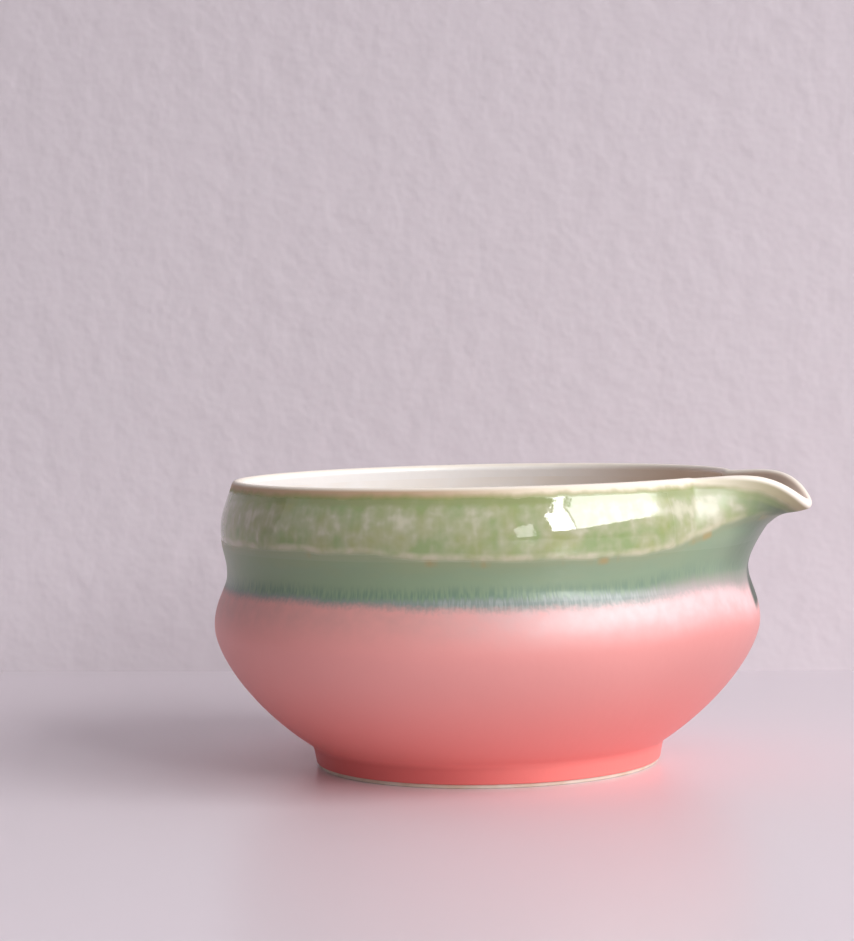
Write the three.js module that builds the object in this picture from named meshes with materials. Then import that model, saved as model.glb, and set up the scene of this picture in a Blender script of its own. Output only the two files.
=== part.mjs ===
// A spouted tea bowl: a thrown porcelain shell with its pulled pouring lip, the turned foot ring under it,
// and the glaze coats that were laid over them, each as its own solid.
// Millimetres, +Z up, the spout points along +X. The origin is on the table, below the middle of the bowl.
import * as THREE from "three";

// The glazed outline of the wall, as its turning points from the foot up: radius, height, slope in degrees.
// below and above are the lengths of the curve's handles, and wall is the thickness over both glazes.
const CREASE = { radius: 41.5, height: 5.2, slope: 33, above: 17, wall: 4.6 };
const BELLY = { radius: 64, height: 33.9, slope: 90, below: 6.3, above: 6, wall: 3.6 };
const WAIST = { radius: 60.8, height: 46.1, slope: 90, below: 3.3, above: 4.7, wall: 3.1 };
const SHOULDER = { radius: 62.1, height: 56.5, slope: 90, below: 5.5, above: 3.6, wall: 2.9 };
const RIM = { radius: 59.2, height: 67.2, slope: 109, below: 5, wall: 2.5 };

// The same line under the middle of the spout: up to its root at the waist, over the throat, out to the tip
const SPOUT_BELLY = { radius: 64.7, height: 33.5, slope: 90, below: 6.3, above: 4.5 };
const SPOUT_ROOT = { radius: 62.3, height: 45.8, slope: 90, below: 5.5, above: 2 };
const SPOUT_THROAT = { radius: 67.6, height: 56.1, slope: 40, below: 3, above: 6 };
const SPOUT_TIP = { radius: 77.3, height: 59.8, slope: 18, below: 5 };
// Half the angle round the bowl that the spout takes up, below the belly and at the rim
const SPOUT_HALF_ANGLE = { low: 34, rim: 20 };
// The spout's sides fall away from its middle line with the first power, and its edge dips with the second
const SPOUT_FULLNESS = 0.65;
const SPOUT_DIP = 4.4;

// The foot ring, glazed outside down to a bare edge, and the well inside it
const FOOT_RADIUS = 40.5;
const FOOT_BARE_EDGE = 0.9;
const FOOT_BEVEL = 0.3;
const WELL_RADIUS = 36.2;
const WELL_CEILING = { radius: 35.4, height: 3.2 };

// The inside floor, and how far it stays flat
const FLOOR_HEIGHT = 6.4;
const FLOOR_EDGE_RUN = 5;
const FLOOR_FLAT_RADIUS = 16;
const GLAZE = 0.5;

// Stations up the wall: 0 is the foot's crease, 1 the belly, 2 the waist, 3 the shoulder and 4 the rim
const PINK_STATIONS = [0, 0.2, 0.4, 0.6, 0.78, 0.9, 1, 1.3, 1.72];
const SEA_GREEN_STATIONS = [1.72, 2, 2.3, 2.65];
const MOTTLED_STATIONS = [2.65, 3, 3.3, 3.6, 3.87];
const RIM_STATIONS = [3.87, 4];
const INSIDE_STATIONS = [3.87, 3.5, 3, 2.5, 2, 1.6, 1.25, 1, 0.75, 0.4, 0];
const FLOOR_STATIONS = [0.25, 0.5, 0.8];
const LIP_ANGLES = [36, 72, 108, 144];
const STEPS_AROUND = 60;
// 0 spaces the steps evenly; towards 1 they crowd at the spout
const STEP_CROWDING = 0.6;
// The step of station and of angle that the surface's slopes are measured over
const SLOPE_STEP = 1e-3;

const vector = (radius, height) => new THREE.Vector2(radius, height);
const mix = THREE.MathUtils.lerp;
const radians = THREE.MathUtils.degToRad;
const direction = (slope) => vector(Math.cos(radians(slope)), Math.sin(radians(slope)));

// One curve between two turning points
function stretch(from, to) {
  const start = vector(from.radius, from.height);
  const end = vector(to.radius, to.height);
  const leaving = start.clone().add(direction(from.slope).multiplyScalar(from.above));
  const arriving = end.clone().sub(direction(to.slope).multiplyScalar(to.below));
  return new THREE.CubicBezierCurve(start, leaving, arriving, end);
}

const outlineThrough = (points) => points.slice(1).map((point, i) => stretch(points[i], point));

const TURNING_POINTS = [CREASE, BELLY, WAIST, SHOULDER, RIM];
const BODY_OUTLINE = outlineThrough(TURNING_POINTS);
const SPOUT_OUTLINE = outlineThrough([CREASE, SPOUT_BELLY, SPOUT_ROOT, SPOUT_THROAT, SPOUT_TIP]);
const TOP_STATION = BODY_OUTLINE.length;

function onOutline(outline, station) {
  const index = Math.min(Math.floor(station), TOP_STATION - 1);
  return outline[index].getPoint(station - index);
}

// How far a point at this station and angle is drawn from the plain wall, 0, to the spout's middle line, 1
function spoutShare(station, angle) {
  const rise = Math.max(0, (station - 1) / (TOP_STATION - 1));
  const half = radians(mix(SPOUT_HALF_ANGLE.low, SPOUT_HALF_ANGLE.rim, rise));
  const away = Math.abs(Math.atan2(Math.sin(angle), Math.cos(angle))) / half;
  return away < 1 ? ((1 + Math.cos(Math.PI * away)) / 2) ** SPOUT_FULLNESS : 0;
}

// The glazed outside of the bowl
function outsidePoint(station, angle) {
  const body = onOutline(BODY_OUTLINE, station);
  const spout = onOutline(SPOUT_OUTLINE, station);
  const share = spoutShare(station, angle);
  const radius = mix(body.x, spout.x, share);
  const height = mix(body.y, spout.y, share ** SPOUT_DIP);
  return new THREE.Vector3(radius * Math.cos(angle), radius * Math.sin(angle), height);
}

// The outward normal and the upward tangent of the outside, from small differences
function outsideFrame(station, angle) {
  const low = Math.max(0, station - SLOPE_STEP);
  const high = Math.min(TOP_STATION, station + SLOPE_STEP);
  const up = outsidePoint(high, angle).sub(outsidePoint(low, angle)).normalize();
  const round = outsidePoint(station, angle + SLOPE_STEP).sub(outsidePoint(station, angle - SLOPE_STEP));
  return { up, normal: round.cross(up).normalize() };
}

function thickness(station) {
  const index = Math.min(Math.floor(station), TOP_STATION - 1);
  return mix(TURNING_POINTS[index].wall, TURNING_POINTS[index + 1].wall, station - index);
}

// Angles round the bowl, closest together at the spout
const ANGLES = Array.from({ length: STEPS_AROUND }, (_, i) => {
  const turn = (2 * Math.PI * i) / STEPS_AROUND;
  return turn - STEP_CROWDING * Math.sin(turn);
});

// Rings of points, each a closed line round the bowl
const plainRing = (radius, height) =>
  ANGLES.map((angle) => new THREE.Vector3(radius * Math.cos(angle), radius * Math.sin(angle), height));

function wallRing(station, depth) {
  return ANGLES.map((angle) => {
    const { normal } = outsideFrame(station, angle);
    return outsidePoint(station, angle).addScaledVector(normal, -depth);
  });
}

const wallRings = (stations, depthAt) => stations.map((station) => wallRing(station, depthAt(station)));

// A ring on the rounded lip: angle 0 is the outer edge and 180 the inner one
function lipRing(lipAngle, inset) {
  const half = thickness(TOP_STATION) / 2;
  const turn = radians(lipAngle);
  return ANGLES.map((angle) => {
    const { up, normal } = outsideFrame(TOP_STATION, angle);
    return outsidePoint(TOP_STATION, angle)
      .addScaledVector(normal, -half + (half - inset) * Math.cos(turn))
      .addScaledVector(up, (half - inset) * Math.sin(turn));
  });
}

// The inside floor, from the foot of the wall to the centre, at a depth under the glazed surface
function floorRings(depth) {
  const slope = radians(CREASE.slope);
  const edgeRadius = CREASE.radius - (CREASE.wall - depth) * Math.sin(slope);
  const edgeHeight = CREASE.height + (CREASE.wall - depth) * Math.cos(slope);
  const floor = new THREE.CubicBezierCurve(
    vector(edgeRadius, edgeHeight),
    vector(edgeRadius - FLOOR_EDGE_RUN * Math.cos(slope), edgeHeight - FLOOR_EDGE_RUN * Math.sin(slope)),
    vector(FLOOR_FLAT_RADIUS, FLOOR_HEIGHT - depth),
    vector(0, FLOOR_HEIGHT - depth),
  );
  return FLOOR_STATIONS.map((share) => floor.getPoint(share)).map((at) => plainRing(at.x, at.y));
}

const pole = (height) => new THREE.Vector3(0, 0, height);

// Joins rings into one closed solid: between two poles on the axis, or else round and back to the first ring
function loft(rings, poles) {
  const corners = [];
  const triangle = (a, b, c) => corners.push(a, b, c);
  const count = rings.length;
  const bands = poles ? count - 1 : count;
  for (let i = 0; i < bands; i++) {
    const lower = rings[i];
    const upper = rings[(i + 1) % count];
    for (let j = 0; j < STEPS_AROUND; j++) {
      const k = (j + 1) % STEPS_AROUND;
      const [a, b, c, d] = [lower[j], lower[k], upper[k], upper[j]];
      // The shorter diagonal, so that two solids that share a surface also share its triangles
      if (a.distanceTo(c) < b.distanceTo(d)) {
        triangle(a, b, c);
        triangle(a, c, d);
      } else {
        triangle(a, b, d);
        triangle(b, c, d);
      }
    }
  }
  for (let j = 0; poles && j < STEPS_AROUND; j++) {
    const k = (j + 1) % STEPS_AROUND;
    triangle(poles.start, rings[0][k], rings[0][j]);
    triangle(rings[count - 1][j], rings[count - 1][k], poles.end);
  }
  const geometry = new THREE.BufferGeometry().setFromPoints(corners);
  geometry.computeVertexNormals();
  return geometry;
}

const underGlaze = () => GLAZE;
const innerGlazed = thickness;
const innerClay = (station) => thickness(station) - GLAZE;

// The foot's outer side flares up to the crease
function footRadius(height, inset) {
  return mix(FOOT_RADIUS, CREASE.radius, height / CREASE.height) - inset;
}
const footSideRing = (height, inset) => plainRing(footRadius(height, inset), height);

// The inner side of the foot ring leans out towards its bottom edge
function wellRadius(height) {
  return mix(WELL_RADIUS, WELL_CEILING.radius, height / WELL_CEILING.height);
}
const wellRing = (height) => plainRing(wellRadius(height), height);

const OUTSIDE_STATIONS = [...PINK_STATIONS, ...SEA_GREEN_STATIONS.slice(1), ...MOTTLED_STATIONS.slice(1)];

function bowlBody() {
  return loft(
    [
      wellRing(WELL_CEILING.height),
      footSideRing(WELL_CEILING.height, GLAZE),
      footSideRing(CREASE.height, GLAZE),
      ...wallRings(OUTSIDE_STATIONS, underGlaze),
      wallRing(TOP_STATION, GLAZE),
      ...LIP_ANGLES.map((lipAngle) => lipRing(lipAngle, GLAZE)),
      wallRing(TOP_STATION, innerClay(TOP_STATION)),
      ...wallRings(INSIDE_STATIONS, innerClay),
      ...floorRings(GLAZE),
    ],
    { start: pole(WELL_CEILING.height), end: pole(FLOOR_HEIGHT - GLAZE) },
  );
}

function footRing() {
  return loft([
    plainRing(footRadius(0, GLAZE + FOOT_BEVEL), 0),
    footSideRing(FOOT_BEVEL, GLAZE),
    footSideRing(FOOT_BARE_EDGE, GLAZE),
    footSideRing(WELL_CEILING.height, GLAZE),
    wellRing(WELL_CEILING.height),
    wellRing(WELL_CEILING.height - GLAZE),
    wellRing(FOOT_BEVEL),
    plainRing(wellRadius(0) + FOOT_BEVEL, 0),
  ]);
}

function footWellGlaze() {
  const high = WELL_CEILING.height;
  const low = high - GLAZE;
  return loft([wellRing(low), wellRing(high)], { start: pole(low), end: pole(high) });
}

function pinkGlaze() {
  return loft([
    footSideRing(FOOT_BARE_EDGE, 0),
    ...wallRings(PINK_STATIONS, () => 0),
    ...wallRings(PINK_STATIONS, underGlaze).reverse(),
    footSideRing(CREASE.height, GLAZE),
    footSideRing(WELL_CEILING.height, GLAZE),
    footSideRing(FOOT_BARE_EDGE, GLAZE),
  ]);
}

// A coat over one stretch of the outer wall
function wallGlaze(stations) {
  return loft([...wallRings(stations, () => 0), ...wallRings(stations, underGlaze).reverse()]);
}

// The thin cream coat that runs from the outer edge, over the lip, to the inside
function rimGlaze() {
  const innerEdge = INSIDE_STATIONS[0];
  return loft([
    ...wallRings(RIM_STATIONS, () => 0),
    ...LIP_ANGLES.map((lipAngle) => lipRing(lipAngle, 0)),
    wallRing(TOP_STATION, innerGlazed(TOP_STATION)),
    wallRing(innerEdge, innerGlazed(innerEdge)),
    wallRing(innerEdge, innerClay(innerEdge)),
    wallRing(TOP_STATION, innerClay(TOP_STATION)),
    ...LIP_ANGLES.map((lipAngle) => lipRing(lipAngle, GLAZE)).reverse(),
    ...wallRings(RIM_STATIONS, underGlaze).reverse(),
  ]);
}

function linerGlaze() {
  return loft(
    [
      ...floorRings(GLAZE).reverse(),
      ...wallRings(INSIDE_STATIONS, innerClay).reverse(),
      ...wallRings(INSIDE_STATIONS, innerGlazed),
      ...floorRings(0),
    ],
    { start: pole(FLOOR_HEIGHT - GLAZE), end: pole(FLOOR_HEIGHT) },
  );
}

// One sub-part with its own finish
function piece(name, geometry, color, roughness) {
  const mesh = new THREE.Mesh(geometry, new THREE.MeshStandardMaterial({ color, roughness, metalness: 0 }));
  mesh.name = name;
  return mesh;
}

const bowl = new THREE.Group();
bowl.add(
  piece("bowl_body", bowlBody(), "#d9cbb8", 0.85),
  piece("foot_ring", footRing(), "#d9cbb8", 0.85),
  piece("foot_well_glaze", footWellGlaze(), "#e58a8c", 0.38),
  piece("pink_glaze", pinkGlaze(), "#e58a8c", 0.38),
  piece("sea_green_glaze", wallGlaze(SEA_GREEN_STATIONS), "#8fa88c", 0.3),
  piece("mottled_green_glaze", wallGlaze(MOTTLED_STATIONS), "#a3b183", 0.12),
  piece("rim_glaze", rimGlaze(), "#e3cfae", 0.15),
  piece("liner_glaze", linerGlaze(), "#efe6df", 0.12),
);
// Everything above is centred on the bowl's axis; this moves the middle of the footprint to the origin
bowl.position.x = -new THREE.Box3().setFromObject(bowl).getCenter(new THREE.Vector3()).x;

export default bowl;
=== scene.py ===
"""Dresses a spouted tea bowl in its layered glazes and stands it on a pale table beside a window.

Every piece of the bowl is spun from one rule. The wall has two outlines, that of the plain wall and that of the
middle of the spout, and each point of the wall is drawn from the first towards the second by a share that fades
with the angle from the spout. The outlines are in millimetres, and the finished meshes are in metres.
"""

import logging
import math
from collections.abc import Callable
from dataclasses import dataclass, field
from enum import Enum
from functools import partial

import bpy
import numpy as np
from bpy.types import Material, Mesh, Node, NodeSocket, NodeTree, Object
from mathutils import Matrix, Vector


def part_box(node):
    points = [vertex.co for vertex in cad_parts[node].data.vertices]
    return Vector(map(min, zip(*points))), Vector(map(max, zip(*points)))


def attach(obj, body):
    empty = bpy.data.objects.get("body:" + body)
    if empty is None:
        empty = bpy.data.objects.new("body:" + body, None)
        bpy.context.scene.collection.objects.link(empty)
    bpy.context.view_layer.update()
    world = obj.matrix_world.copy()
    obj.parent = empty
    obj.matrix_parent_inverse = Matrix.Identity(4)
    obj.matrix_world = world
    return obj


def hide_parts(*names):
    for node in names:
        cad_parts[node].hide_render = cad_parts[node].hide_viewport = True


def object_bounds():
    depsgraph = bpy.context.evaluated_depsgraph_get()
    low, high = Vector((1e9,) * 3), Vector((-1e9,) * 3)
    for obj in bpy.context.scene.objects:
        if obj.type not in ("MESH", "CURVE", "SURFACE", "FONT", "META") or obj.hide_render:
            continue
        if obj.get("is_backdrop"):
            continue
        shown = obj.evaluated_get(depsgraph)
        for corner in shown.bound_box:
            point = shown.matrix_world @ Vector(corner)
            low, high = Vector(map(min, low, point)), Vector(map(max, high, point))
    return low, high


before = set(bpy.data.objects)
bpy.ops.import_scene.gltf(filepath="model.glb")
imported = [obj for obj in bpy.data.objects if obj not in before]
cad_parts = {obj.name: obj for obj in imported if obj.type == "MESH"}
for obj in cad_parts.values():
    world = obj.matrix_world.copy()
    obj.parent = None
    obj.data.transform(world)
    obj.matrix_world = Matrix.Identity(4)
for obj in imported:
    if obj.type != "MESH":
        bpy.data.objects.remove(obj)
CAD_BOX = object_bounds()

LOG = logging.getLogger("tea bowl")
MM = 0.001
GLAZE_SPACE = "glaze_space"
MATH, VECTOR, RANGE, MIX = "ShaderNodeMath", "ShaderNodeVectorMath", "ShaderNodeMapRange", "ShaderNodeMix"
CHOICE = {MATH: "operation", VECTOR: "operation", RANGE: "interpolation_type", MIX: "data_type"}
SPLIT, JOIN, NOISE = "ShaderNodeSeparateXYZ", "ShaderNodeCombineXYZ", "ShaderNodeTexNoise"


class Op(Enum):
    """What the commonest nodes do: each one's type, and what is chosen in it."""

    ADD = (MATH, "ADD")
    SUBTRACT = (MATH, "SUBTRACT")
    MULTIPLY = (MATH, "MULTIPLY")
    MULTIPLY_ADD = (MATH, "MULTIPLY_ADD")
    DIVIDE = (MATH, "DIVIDE")
    POWER = (MATH, "POWER")
    LEAST = (MATH, "MINIMUM")
    MOST = (MATH, "MAXIMUM")
    ABSOLUTE = (MATH, "ABSOLUTE")
    SINE = (MATH, "SINE")
    COSINE = (MATH, "COSINE")
    ANGLE = (MATH, "ARCTAN2")
    V_ADD = (VECTOR, "ADD")
    V_SUBTRACT = (VECTOR, "SUBTRACT")
    V_MULTIPLY = (VECTOR, "MULTIPLY")
    V_SCALE = (VECTOR, "SCALE")
    V_DOT = (VECTOR, "DOT_PRODUCT")
    V_CROSS = (VECTOR, "CROSS_PRODUCT")
    V_UNIT = (VECTOR, "NORMALIZE")
    SPREAD = (RANGE, "LINEAR")
    FADE = (RANGE, "SMOOTHSTEP")
    BLEND = (MIX, "FLOAT")
    TINT = (MIX, "RGBA")


def linear(code: str) -> tuple[float, float, float, float]:
    """Turns a colour code into the linear colour that a shader takes.

    Args:
        code: An sRGB hex code such as "#e48a8a".

    Returns:
        Red, green, blue and an alpha of 1.
    """
    parts = [int(code[i : i + 2], 16) / 255 for i in (1, 3, 5)]
    return (*[p / 12.92 if p <= 0.04045 else ((p + 0.055) / 1.055) ** 2.4 for p in parts], 1.0)


def add_node(tree: NodeTree, kind: Op | str, *values: object, into: dict | None = None, **settings: object) -> Node:
    """Adds a node with its settings, values and links.

    Args:
        tree: The tree that takes the node.
        kind: What the node does, or its type.
        *values: What its inputs in use get, in order: a value, a colour code, another node's output, or a node,
            which stands for its first output in use.
        into: The same for inputs by name.
        **settings: Properties of the node, set before its inputs.

    Returns:
        The new node.
    """
    if isinstance(kind, Op):
        kind, chosen = kind.value
        settings = {CHOICE[kind]: chosen, **settings}
    node = tree.nodes.new(kind)
    for key, value in settings.items():
        setattr(node, key, value)
    usable = [s for s in node.inputs if s.enabled]
    named = [(next(s for s in usable if s.name == key), value) for key, value in (into or {}).items()]
    for socket, value in (*zip(usable, values), *named):
        if isinstance(value, Node):
            value = next(s for s in value.outputs if s.enabled)
        if isinstance(value, NodeSocket):
            tree.links.new(value, socket)
        else:
            is_code = isinstance(value, str) and value.startswith("#")
            socket.default_value = linear(value) if is_code else value
    return node


def new_group(name: str, kind: str, inputs: dict[str, str], outputs: dict[str, str]) -> NodeTree:
    """Makes a node group with its sockets.

    Args:
        name: The group's name.
        kind: The type of its tree.
        inputs: What each input takes, by its name.
        outputs: What each output gives, by its name.

    Returns:
        The group, still without nodes.
    """
    tree = bpy.data.node_groups.new(name, kind)
    for way, sockets in (("INPUT", inputs), ("OUTPUT", outputs)):
        for label, socket in sockets.items():
            tree.interface.new_socket(name=label, in_out=way, socket_type="NodeSocket" + socket)
    return tree


def new_object(name: str, data: bpy.types.ID) -> Object:
    """Makes an object for a mesh, a lamp or a camera, and links it to the scene.

    Args:
        name: The object's name.
        data: What it shows.

    Returns:
        The object, at the origin.
    """
    thing = bpy.data.objects.new(name, data)
    bpy.context.scene.collection.objects.link(thing)
    return thing


def read(items: bpy.types.bpy_prop_collection, name: str, width: int = 1, kind: type = float) -> np.ndarray:
    """Reads one property of all vertices, corners or faces of a mesh.

    Args:
        items: The vertices, corners or faces.
        name: The property.
        width: How many numbers each of them has.
        kind: The numbers' type.

    Returns:
        A row for each of them, or a plain list of numbers where the width is 1.
    """
    values = np.empty(len(items) * width, kind)
    items.foreach_get(name, values)
    return values.reshape(-1, width) if width > 1 else values


def bent(controls: list, count: int) -> np.ndarray:
    """Follows a curve through its control points.

    Args:
        controls: Three or four control points, each a radius and height.
        count: How many points to return.

    Returns:
        The points, with both ends.
    """
    share = np.linspace(0, 1, count)[:, None, None]
    points = np.repeat(np.array(controls, float)[None], count, axis=0)
    while points.shape[1] > 1:
        points = points[:, :-1] * (1 - share) + points[:, 1:] * share
    return points[:, 0]


@dataclass(frozen=True)
class TurningPoint:
    """A place where an outline's slope is known, in millimetres and degrees.

    below and above are the lengths of the curve's handles, and wall is the thickness over both glazes.
    """

    radius: float
    height: float
    slope: float
    below: float = 0.0
    above: float = 0.0
    wall: float = 0.0


class Skin(Enum):
    """The surfaces of the wall that a section can follow, each with how many walls and how many glazes deep it is."""

    OUTER_GLAZE = (0, 0)
    OUTER_CLAY = (0, 1)
    INNER_CLAY = (1, -1)
    INNER_GLAZE = (1, 0)


@dataclass(frozen=True)
class BowlForm:
    """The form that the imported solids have, in millimetres, and the sections that are cut from it."""

    crease: TurningPoint = TurningPoint(41.5, 5.2, 33, above=17, wall=4.6)
    belly: TurningPoint = TurningPoint(64, 33.9, 90, below=6.3, above=6, wall=3.6)
    waist: TurningPoint = TurningPoint(60.8, 46.1, 90, below=3.3, above=4.7, wall=3.1)
    shoulder: TurningPoint = TurningPoint(62.1, 56.5, 90, below=5.5, above=3.6, wall=2.9)
    rim: TurningPoint = TurningPoint(59.2, 67.2, 109, below=5, wall=2.5)
    spout_belly: TurningPoint = TurningPoint(64.7, 33.5, 90, below=6.3, above=4.5)
    spout_root: TurningPoint = TurningPoint(62.3, 45.8, 90, below=5.5, above=2)
    spout_throat: TurningPoint = TurningPoint(67.6, 56.1, 40, below=3, above=6)
    spout_tip: TurningPoint = TurningPoint(77.3, 59.8, 18, below=5)
    half_angle_low: float = 34.0
    half_angle_rim: float = 20.0
    fullness: float = 0.65
    dip: float = 4.4
    glaze: float = 0.5
    foot_radius: float = 40.5
    foot_bare_edge: float = 0.9
    well_radius: float = 36.2
    well_ceiling_radius: float = 35.4
    well_ceiling: float = 3.2
    floor_height: float = 6.4
    floor_edge_run: float = 5.0
    floor_flat_radius: float = 16.0
    lip_roundness: float = 0.94
    lip_start: float = 3.87
    lip_points: int = 19
    floor_points: int = 40
    ring_spacing: float = 0.8
    slope_step: float = 1e-3

    @property
    def plain(self) -> tuple[TurningPoint, ...]:
        """The turning points of the plain wall, from the foot's crease up."""
        return (self.crease, self.belly, self.waist, self.shoulder, self.rim)

    @property
    def spouted(self) -> tuple[TurningPoint, ...]:
        """The turning points of the wall's line down the middle of the spout."""
        return (self.crease, self.spout_belly, self.spout_root, self.spout_throat, self.spout_tip)

    @property
    def top(self) -> int:
        """The station of the rim."""
        return len(self.plain) - 1

    def outline(self, points: tuple[TurningPoint, ...], stations: np.ndarray) -> np.ndarray:
        """Follows an outline.

        Args:
            points: The outline's turning points.
            stations: Places along it: 0 is the crease, and each turning point is 1 further.

        Returns:
            The radius and height at each station.
        """
        index = np.minimum(stations.astype(int), self.top - 1)
        share = (stations - index)[:, None]
        place = np.array([(p.radius, p.height) for p in points])
        lean = np.radians([p.slope for p in points])
        way = np.column_stack([np.cos(lean), np.sin(lean)])
        above = np.array([p.above for p in points])[:, None]
        below = np.array([p.below for p in points])[:, None]
        start, leaving = place[index], (place + way * above)[index]
        arriving, end = (place - way * below)[index + 1], place[index + 1]
        rest = 1 - share
        return rest**3 * start + 3 * rest**2 * share * leaving + 3 * rest * share**2 * arriving + share**3 * end

    def spaced(self, start: float, end: float) -> np.ndarray:
        """Picks stations about a ring's spacing apart on the plain wall.

        Args:
            start: The first station.
            end: The last station, which may be lower.

        Returns:
            The stations, in order, with both ends.
        """
        dense = np.linspace(start, end, 400)
        length = np.r_[0, np.cumsum(np.linalg.norm(np.diff(self.outline(self.plain, dense), axis=0), axis=1))]
        count = math.ceil(length[-1] / self.ring_spacing) + 1
        picked = np.interp(np.linspace(0, length[-1], count), length, dense)
        picked[0], picked[-1] = start, end
        return picked

    def rows(self, stations: np.ndarray, depth: np.ndarray, rise: np.ndarray, band: np.ndarray) -> np.ndarray:
        """Makes section rows on the wall.

        Args:
            stations: Where on the wall each row stands.
            depth: How far each point lies under the glazed surface.
            rise: How far each point lies past its station, along the wall.
            band: The height in the glaze bands that each point is painted at.

        Returns:
            One row for each station, with the fields that SpunWall.FIELDS names.
        """
        made = np.zeros((len(stations), len(SpunWall.FIELDS), 3))
        for k, shift in enumerate((0, -self.slope_step, self.slope_step)):
            near = np.clip(stations + shift, 0, self.top)
            up = np.clip((near - 1) / (self.top - 1), 0, 1)
            made[:, k, :2] = self.outline(self.plain, near) * MM
            made[:, k, 2] = np.radians(self.half_angle_low + (self.half_angle_rim - self.half_angle_low) * up)
            made[:, k + 3, :2] = self.outline(self.spouted, near) * MM
        made[:, 6] = np.column_stack([depth, rise, band]) * MM
        return made

    def wall(self, start: float, end: float, skin: Skin) -> np.ndarray:
        """Follows one skin of the wall between two stations.

        Args:
            start: The first station.
            end: The last station.
            skin: Which surface of the wall to follow.

        Returns:
            Section rows.
        """
        at = self.spaced(start, end)
        wall = np.interp(at, range(self.top + 1), [p.wall for p in self.plain])
        walls, glazes = skin.value
        band = self.outline(self.plain, at)[:, 1]
        if walls:
            band = self.rim.height + math.pi * self.rim.wall / 2 + self.rim.height - band
        return self.rows(at, walls * wall + glazes * self.glaze, 0 * wall, band)

    def lip(self, inset: float, start: float = 0.0, end: float = 180.0) -> np.ndarray:
        """Follows the rounded lip.

        Args:
            inset: How far under the glazed surface.
            start: The first angle over the lip, where 0 is its outer edge and 180 its inner one.
            end: The last angle.

        Returns:
            Section rows.
        """
        turn = np.radians(np.linspace(start, end, self.lip_points))
        half = self.rim.wall / 2
        at = np.full(len(turn), float(self.top))
        rise = (half - inset) * self.lip_roundness * np.sin(turn)
        return self.rows(at, half - (half - inset) * np.cos(turn), rise, self.rim.height + half * turn)

    def rings(self, plain: np.ndarray, spouted: np.ndarray | None = None) -> np.ndarray:
        """Makes section rows from radii and heights that take no offset.

        Args:
            plain: Radius and height of each point.
            spouted: The same under the middle of the spout, where that differs.

        Returns:
            Section rows, painted at their own height.
        """
        made = np.zeros((len(plain), len(SpunWall.FIELDS), 3))
        made[:, :3, :2] = plain[:, None] * MM
        made[:, :3, 2] = math.radians(self.half_angle_low)
        made[:, 3:6, :2] = (plain if spouted is None else spouted)[:, None] * MM
        made[:, 6, 2] = plain[:, 1] * MM
        return made

    def foot_side(self, height: float, inset: float = 0.0) -> tuple[float, float]:
        """The foot's outer side at a height, which flares up to the crease, as a radius and height."""
        flare = (self.crease.radius - self.foot_radius) * height / self.crease.height
        return (self.foot_radius + flare - inset, height)

    def well_side(self, height: float) -> tuple[float, float]:
        """The foot's inner side at a height, which leans out towards its edge, as a radius and height."""
        lean = (self.well_ceiling_radius - self.well_radius) * height / self.well_ceiling
        return (self.well_radius + lean, height)

    def floor(self, depth: float) -> np.ndarray:
        """Follows the inside floor from the foot of the wall to the axis.

        Args:
            depth: How far under the glazed surface.

        Returns:
            Section rows that end on the axis.
        """
        lean = math.radians(self.crease.slope)
        across = self.crease.wall - depth
        edge = np.array([self.crease.radius - across * math.sin(lean), self.crease.height + across * math.cos(lean)])
        run = edge - self.floor_edge_run * np.array([math.cos(lean), math.sin(lean)])
        low = self.floor_height - depth
        return self.rings(bent([edge, run, (self.floor_flat_radius, low), (0, low)], self.floor_points)[1:])


@dataclass
class Section:
    """The cut edge of one piece, as runs of rows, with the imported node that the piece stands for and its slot."""

    name: str
    node: str
    slot: str
    runs: list[np.ndarray]
    closed: bool = True
    least_gap: float = 1e-7

    def table(self) -> np.ndarray:
        """Joins the runs into one line without repeated points.

        Returns:
            All rows, in order.
        """
        rows = np.concatenate(self.runs)
        ahead = np.roll(rows, -1, axis=0)
        keep = np.abs(rows[:, (0, 3, 6)] - ahead[:, (0, 3, 6)])[:, :, :2].max(axis=(1, 2)) > self.least_gap
        if not self.closed:
            keep[-1] = True
        return rows[keep]


@dataclass
class Piece:
    """One made piece, and the section that it was spun from."""

    section: Section
    thing: Object

    def settle(self) -> None:
        """Lets the piece ride on the bowl's one body in its node's place."""
        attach(self.thing, "root")
        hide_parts(self.section.node)
        low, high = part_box(self.section.node)
        size = [round(v / MM, 1) for v in (high - low)]
        faces = len(self.thing.data.polygons)
        LOG.info("%s stands for %s, %s mm, %d faces", self.thing.name, self.section.node, size, faces)


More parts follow.
